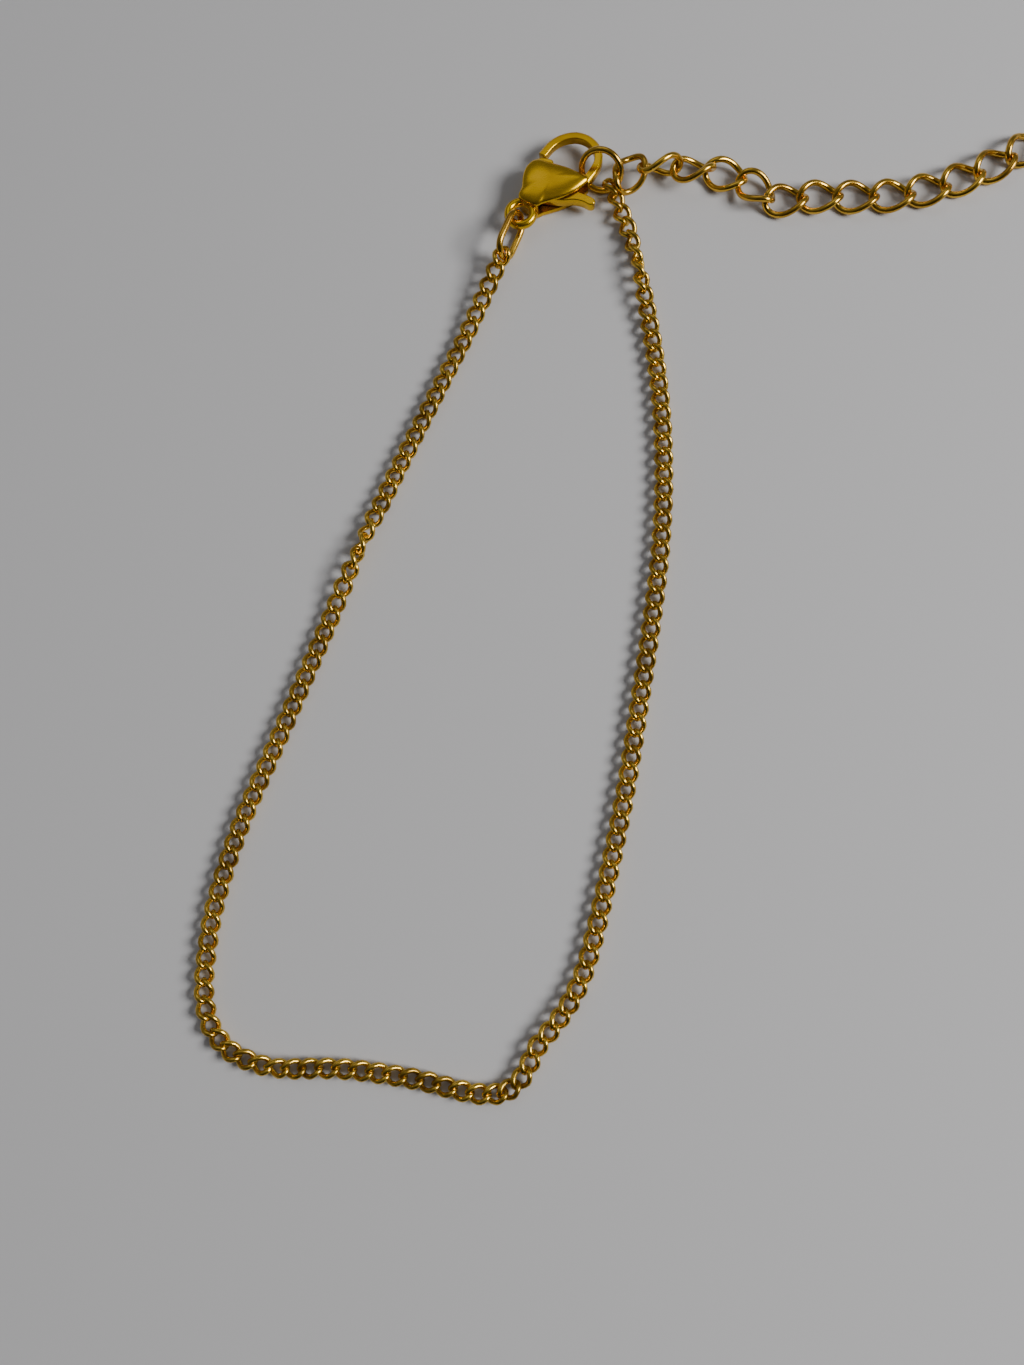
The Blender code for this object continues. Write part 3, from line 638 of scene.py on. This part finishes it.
def hook_mesh():
    """The curved hook: a flat band with broken edges."""
    w, h = HOOK_WIDTH / 2, HOOK_THICKNESS / 2
    cut, inner = HOOK_EDGE, HOOK_INNER_EDGE
    section = [(w, h - cut), (w - cut, h), (inner - w, h), (-w, h - inner),
               (-w, cut - h), (cut - w, -h), (w - cut, -h), (w, cut - h)]
    line = smooth_line(clasp_points(HOOK_LINE), steps=CURVE_STEPS)
    rings = []
    for i, point in enumerate(line):
        ahead = (line[min(i + 1, len(line) - 1)] - line[max(i - 1, 0)]).normalized()
        out = Vector((ahead.y, -ahead.x, 0))
        rings.append([point + out * a + Vector((0, 0, MID_HEIGHT + b)) for a, b in section])
    return skin("hook", rings)


def eye_mesh(bend_steps=56, sides=20):
    """The eye: a ring with a flattened round section."""
    middle, half, tall = (EYE_OUTER + EYE_HOLE) / 2, (EYE_OUTER - EYE_HOLE) / 2, EYE_THICKNESS / 2
    rings = []
    for i in range(bend_steps):
        turn = tau * i / bend_steps
        ring = []
        for k in range(sides):
            angle = tau * k / sides
            radius = middle + half * cos(angle)
            ring.append(Vector((radius * cos(turn), radius * sin(turn) - EYE_DROP,
                                MID_HEIGHT + tall * sin(angle))))
        rings.append(ring)
    return skin("eye", rings, closed_rings=True)


def slab(name, outline, place, height):
    """A plate of the given height about its place."""
    return skin(name, [[place + point + Vector((0, 0, side * height / 2)) for point in outline]
                       for side in (-1, 1)])


def cut_or_join(piece, operation, mesh):
    """Takes the mesh out of the piece, or joins it on."""
    other = new_piece(mesh.name, mesh)
    step = piece.modifiers.new(mesh.name, "BOOLEAN")
    step.operation = operation
    step.object = other
    step.solver = "EXACT"
    plain_mesh(piece)
    bpy.data.objects.remove(other, do_unlink=True)


def break_edges(piece, width, segments):
    """Rounded edges and even shading, as tumbling and polishing leave a small casting."""
    bevel = piece.modifiers.new("edges", "BEVEL")
    bevel.width = width
    bevel.segments = segments
    bevel.limit_method = "ANGLE"
    bevel.angle_limit = EDGE_ANGLE
    plain_mesh(piece)
    piece.data.shade_smooth()
    piece.data.set_sharp_from_angle(angle=SHARP_ANGLE)
    even = piece.modifiers.new("even_shading", "WEIGHTED_NORMAL")
    even.keep_sharp = True
    plain_mesh(piece)


clasp_gold = gold("clasp_polished_gold", CLASP_COLOUR, CLASP_TARNISH, patch=5.0 * MM, line=0.9 * MM,
                  gloss=0.19, haze=0.10, relief=0.15)
casting = new_piece("clasp_casting", dome_mesh())
slot_outline = (arc(SLOT_REACH, *NOSE_ROOM) + arc(SLOT_HUB, NOSE_ROOM[1], 360 + FLANK_ROOM)
                + arc(FLANK_REACH, FLANK_ROOM, TAB_ROOM[0]) + arc(SLOT_REACH, *TAB_ROOM)
                + arc(SLOT_HUB, TAB_ROOM[1], NOSE_ROOM[0]))
cut_or_join(casting, "DIFFERENCE", slab("slot", slot_outline, PIVOT, SLOT_HEIGHT))
cut_or_join(casting, "UNION", hook_mesh())
cut_or_join(casting, "UNION", eye_mesh())
cut_or_join(casting, "UNION", slab("pin", circle(PIN_RADIUS), PIVOT, SLOT_HEIGHT + 2 * PIN_BITE))
break_edges(casting, CAST_EDGE, segments=2)
casting.data.transform(CLASP_MATRIX)
casting.data.materials.clear()
casting.data.materials.append(clasp_gold)
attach(casting, "anklet")
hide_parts("clasp_body")


# Lobster clasp: lever
# A flat cast lever turns on the pin between the cheeks, held shut by a small spring. Its nose closes the
# hook's mouth and its thumb tab stands out of the casting's side.

LEVER_THICKNESS = 1.2 * MM
LEVER_EDGE = 0.12 * MM
LEVER_HUB = 1.1 * MM
BORE_RADIUS = 0.6 * MM
HUB_ABOVE = (38, 76)           # degrees about the pin where the hub is bare, between the tab and the nose
HUB_BELOW = (158, 284)         # and on the eye's side
HUB_STEP = 25
LEVER_STEPS = 4                # points from one row of its outline to the next

# Radius in millimetres and angle in degrees about the pin
LEVER_NOSE = [(1.4, 88), (2.3, 88), (2.75, 92), (2.83, 101), (2.83, 112), (2.83, 123), (2.7, 134),
              (2.4, 142), (1.6, 147)]
LEVER_TAB = [(1.75, -62), (1.9, -46), (2.45, -27), (3.25, -12), (3.9, -3), (4.86, 1.2), (5.7, 1),
             (6.1, 3.8), (6.05, 8), (5.55, 10.2), (4.6, 11.5), (3.4, 14), (1.6, 17)]


def about_pin(rows):
    """Points from rows of radius and angle about the pin."""
    return [Vector((r * cos(radians(a)), r * sin(radians(a)), 0)) * MM for r, a in rows]


lever_line = (about_pin(LEVER_TAB) + arc(LEVER_HUB, *HUB_ABOVE, HUB_STEP) + about_pin(LEVER_NOSE)
              + arc(LEVER_HUB, *HUB_BELOW, HUB_STEP))
lever_outline = smooth_line(lever_line, closed=True, steps=LEVER_STEPS)
lever = new_piece("clasp_thumb_lever", slab("lever", lever_outline, PIVOT, LEVER_THICKNESS))
cut_or_join(lever, "DIFFERENCE", slab("bore", circle(BORE_RADIUS), PIVOT, 2 * LEVER_THICKNESS))
break_edges(lever, LEVER_EDGE, segments=3)
lever.data.transform(CLASP_MATRIX)
lever.data.materials.clear()
lever.data.materials.append(clasp_gold)
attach(lever, "lever")
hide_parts("clasp_lever")


# Table
# The anklet lies on a plain pale table top with a matt face. Two soft lights stand over it in a plain room,
# which the gold mirrors.

TABLE_SIZE = 2.0
TABLE_COLOUR = (0.66, 0.66, 0.675, 1)
TABLE_ROUGHNESS = 0.85
TABLE_SHINE = 0.2

table_shape = bmesh.new()
bmesh.ops.create_grid(table_shape, x_segments=1, y_segments=1, size=TABLE_SIZE / 2)
table_mesh = bpy.data.meshes.new("table_top")
table_shape.to_mesh(table_mesh)
table_shape.free()
table = new_piece("table_top", table_mesh)
pale = bpy.data.materials.new("pale_table")
pale.use_nodes = True
pale_shader = pale.node_tree.nodes["Principled BSDF"]
pale_shader.inputs["Base Color"].default_value = TABLE_COLOUR
pale_shader.inputs["Roughness"].default_value = TABLE_ROUGHNESS
pale_shader.inputs["Specular IOR Level"].default_value = TABLE_SHINE
table_mesh.materials.append(pale)


def add_light(name, place, size, watts, colour):
    """A soft light, turned towards the middle of the anklet."""
    light = bpy.data.lights.new(name, "AREA")
    light.shape = "RECTANGLE"
    light.size, light.size_y = size
    light.energy = watts
    light.color = colour
    lamp = bpy.data.objects.new(name, light)
    bpy.context.scene.collection.objects.link(lamp)
    lamp.location = place
    lamp.rotation_euler = (-Vector(place)).to_track_quat("-Z", "Y").to_euler()


add_light("window_right", place=(0.46, -0.04, 0.36), size=(0.26, 0.22), watts=3.3, colour=(1.0, 0.985, 0.965))
add_light("soft_overhead", place=(-0.12, 0.48, 0.72), size=(0.70, 0.44), watts=0.45, colour=(1.0, 0.98, 0.95))

# The room is seen as a pale wall, but the gold mirrors a dimmer one that grows dark on the near side
ROOM_COLOUR = (0.96, 0.97, 1.0, 1)
ROOM_SEEN, ROOM_FAR, ROOM_NEAR = 0.55, 0.17, 0.02
NEAR_SIDE, FAR_SIDE = -0.75, 0.10     # how far along Y a ray points where the room is darkest and lightest

world = bpy.data.worlds.new("room")
world.use_nodes = True
room = world.node_tree
room_light = room.nodes["Background"]
room_light.inputs["Color"].default_value = ROOM_COLOUR
ray = room.nodes.new("ShaderNodeTexCoord").outputs["Generated"]
along_y = add_node(room, "ShaderNodeSeparateXYZ", in_0=ray).outputs[1]
mirrored = add_node(room, "ShaderNodeMapRange", in_0=along_y, in_1=NEAR_SIDE, in_2=FAR_SIDE,
                    in_3=ROOM_NEAR, in_4=ROOM_FAR)
seen = room.nodes.new("ShaderNodeLightPath").outputs["Is Camera Ray"]
strength = add_node(room, "ShaderNodeMix", data_type="FLOAT", in_0=seen, in_2=mirrored.outputs[0],
                    in_3=ROOM_SEEN)
room.links.new(strength.outputs[0], room_light.inputs["Strength"])
bpy.context.scene.world = world


# Camera
# It stands over the near half of the loop and looks down on the table, a little towards the far left. At the
# clasp its view is about 34 degrees off the vertical.

FOCAL_PIXELS, PICTURE_HEIGHT = 1105, 1365
CAMERA_PLACE = LOOP_MIDDLE + Vector((-1.589, -22.367, 107.392)) * MM
TILT_FAR = radians(9.6)        # from straight down
TILT_LEFT = radians(3.8)
NEAREST_SEEN = 2 * MM

lens = bpy.data.cameras.new("photo_view")
lens.sensor_fit = "VERTICAL"
lens.angle = 2 * atan(PICTURE_HEIGHT / 2 / FOCAL_PIXELS)
lens.clip_start = NEAREST_SEEN
camera = bpy.data.objects.new("photo_view", lens)
bpy.context.scene.collection.objects.link(camera)
camera.matrix_world = (Matrix.Translation(CAMERA_PLACE) @ Matrix.Rotation(TILT_LEFT, 4, "Y")
                       @ Matrix.Rotation(TILT_FAR, 4, "X"))
bpy.context.scene.camera = camera
